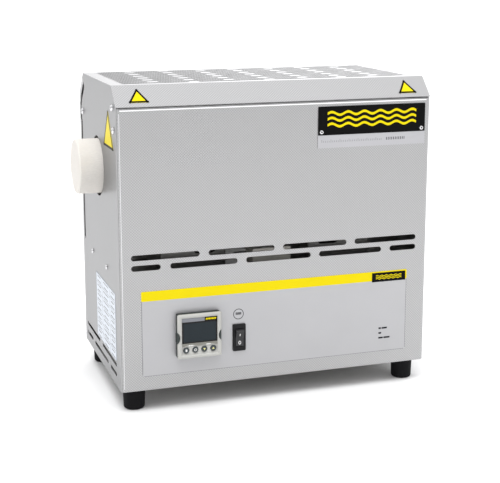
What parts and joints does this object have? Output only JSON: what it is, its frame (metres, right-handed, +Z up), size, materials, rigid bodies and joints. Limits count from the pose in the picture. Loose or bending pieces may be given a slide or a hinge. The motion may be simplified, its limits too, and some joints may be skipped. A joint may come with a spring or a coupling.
{
  "type": "laboratory tube furnace",
  "caption": "Compact horizontal tube furnace: louvred sheet-steel casing on rubber feet, ceramic work tube with fibre plugs, front controller and rocker switch.",
  "frame": {"origin": "on the table, under the middle of the casing's width and depth, which is also under the middle of the work tube", "axes": "+X along the work tube to the right seen from the front, -Y to the front with the controller, +Z up"},
  "size_m": [0.4, 0.2152, 0.346],
  "materials": {
    "textured_steel": "satin, fine raised linen pattern",
    "plain_steel": "satin",
    "galvanised_steel": "dull zinc",
    "screw_steel": "bright",
    "foot_rubber": "matt black",
    "label_foil": "silver foil with a yellow band",
    "badge_black": "satin black over a bare silver strip",
    "rating_foil": "matt white label",
    "sticker_yellow": "gloss yellow",
    "tube_ceramic": "unglazed",
    "fibre": "matt vacuum-formed ceramic fibre",
    "heater_wire": "oxidised resistance wire",
    "probe_steel": "sheath with a metal head",
    "dark_plastic": "moulded",
    "black_plastic": "moulded",
    "bezel_plastic": "light grey, moulded",
    "display_film": "dark, glossy",
    "key_rubber": "satin",
    "gasket_rubber": "matt",
    "blade_brass": "nickel brass",
    "fuse_glass": "glass tube",
    "sink_aluminium": "extruded",
    "mains_insulation": "extruded sleeve",
    "heater_insulation": "braided glass sleeve",
    "control_insulation": "extruded sleeve",
    "earth_insulation": "green and yellow sleeve"
  },
  "bodies": {
    "casing": {"badge_plate": "badge_black", "badge_rivets": "screw_steel", "base_pan": "galvanised_steel", "control_label": "label_foil", "control_wires": "control_insulation", "controller_gasket": "gasket_rubber", "controller_sleeve": "dark_plastic", "earth_wire": "earth_insulation", "foot_front_left": "foot_rubber", "foot_front_right": "foot_rubber", "foot_rear_left": "foot_rubber", "foot_rear_right": "foot_rubber", "foot_screws": "screw_steel", "front_panel": "textured_steel", "heater_leads": "heater_wire", "heater_terminal_block": "tube_ceramic", "heater_wires": "heater_insulation", "heating_coil": "heater_wire", "inlet_pins": "blade_brass", "insulation_lower_shell": "fibre", "insulation_upper_shell": "fibre", "left_end_collar": "fibre", "left_saddle": "galvanised_steel", "left_side_panel": "plain_steel", "mains_wires": "mains_insulation", "module_jacket": "galvanised_steel", "panel_clip": "galvanised_steel", "partition_shelf": "galvanised_steel", "power_inlet": "black_plastic", "rating_plate": "rating_foil", "rear_panel": "plain_steel", "rear_screws": "screw_steel", "relay_heat_sink": "sink_aluminium", "right_end_collar": "fibre", "right_saddle": "galvanised_steel", "right_side_panel": "plain_steel", "side_screws": "screw_steel", "solid_state_relay": "black_plastic", "supply_terminal_block": "black_plastic", "switch_housing": "black_plastic", "thermocouple": "probe_steel", "top_hood": "textured_steel", "triangle_stickers": "sticker_yellow", "work_tube": "tube_ceramic"},
    "left_plug": {"left_tube_plug": "fibre"},
    "right_plug": {"right_tube_plug": "fibre"},
    "rocker": {"switch_rocker": "black_plastic"},
    "controller_unit": {"controller_body": "bezel_plastic", "controller_bezel": "bezel_plastic", "display_window": "display_film"},
    "page_key": {"key_page": "key_rubber"},
    "scroll_key": {"key_scroll": "key_rubber"},
    "down_key": {"key_down": "key_rubber"},
    "up_key": {"key_up": "key_rubber"},
    "left_latch": {"left_latch_ear": "dark_plastic"},
    "right_latch": {"right_latch_ear": "dark_plastic"},
    "fuse_tray": {"fuse_drawer": "black_plastic", "fuse_links": "fuse_glass"}
  },
  "joints": [
    {"name": "left_plug_pull", "type": "slide", "parent": "casing", "child": "left_plug", "axis": [-1, 0, 0], "range_m": [0, 0.075]},
    {"name": "right_plug_pull", "type": "slide", "parent": "casing", "child": "right_plug", "axis": [1, 0, 0], "range_m": [0, 0.075]},
    {"name": "power_rocker", "type": "hinge", "parent": "casing", "child": "rocker", "pos_m": [-0.0453, -0.0995, 0.0725], "axis": [1, 0, 0], "range_deg": [-18, 0]},
    {"name": "controller_pull", "type": "slide", "parent": "casing", "child": "controller_unit", "axis": [0, -1, 0], "range_m": [0, 0.08]},
    {"name": "left_latch_spread", "type": "hinge", "parent": "casing", "child": "left_latch", "pos_m": [-0.11555, -0.1021, 0.0799], "axis": [0, 0, -1], "range_deg": [0, 14], "stiffness_Nm_per_rad": 0.02},
    {"name": "right_latch_spread", "type": "hinge", "parent": "casing", "child": "right_latch", "pos_m": [-0.06745, -0.1021, 0.0799], "axis": [0, 0, 1], "range_deg": [0, 14], "stiffness_Nm_per_rad": 0.02},
    {"name": "fuse_tray_pull", "type": "slide", "parent": "casing", "child": "fuse_tray", "axis": [0, 1, 0], "range_m": [0, 0.018]},
    {"name": "page_key_press", "type": "slide", "parent": "controller_unit", "child": "page_key", "axis": [0, 1, 0], "range_m": [0, 0.0008], "stiffness_N_per_m": 600},
    {"name": "scroll_key_press", "type": "slide", "parent": "controller_unit", "child": "scroll_key", "axis": [0, 1, 0], "range_m": [0, 0.0008], "stiffness_N_per_m": 600},
    {"name": "down_key_press", "type": "slide", "parent": "controller_unit", "child": "down_key", "axis": [0, 1, 0], "range_m": [0, 0.0008], "stiffness_N_per_m": 600},
    {"name": "up_key_press", "type": "slide", "parent": "controller_unit", "child": "up_key", "axis": [0, 1, 0], "range_m": [0, 0.0008], "stiffness_N_per_m": 600}
  ]
}
